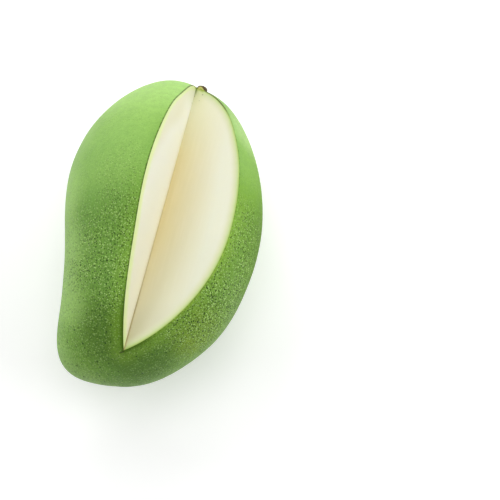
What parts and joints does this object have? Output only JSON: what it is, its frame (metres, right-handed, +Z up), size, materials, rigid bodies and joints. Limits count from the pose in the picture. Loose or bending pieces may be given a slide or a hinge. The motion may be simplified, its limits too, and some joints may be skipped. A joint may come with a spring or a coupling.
{
  "type": "green mango with a wedge cut out",
  "caption": "Whole green mango lying on its cheek, with a long wedge of flesh cut out of the upper side and a stalk stub at the stem end.",
  "frame": {"origin": "on the surface that the fruit lies on, under the middle of its outline", "axes": "+Z up through the thickness of the fruit, out of the cut cheek; +Y along the fruit towards the stem end; +X across its width, away from the beak"},
  "size_m": [0.09, 0.1388, 0.0796],
  "materials": {
    "skin_and_flesh": "green waxy skin with a satin sheen; the cut faces are moist cream flesh",
    "stalk_wood": "dry brown-olive bark, cut through to tan wood"
  },
  "bodies": {
    "root": {"mango": "skin_and_flesh", "stem_stub": "stalk_wood"}
  },
  "joints": []
}
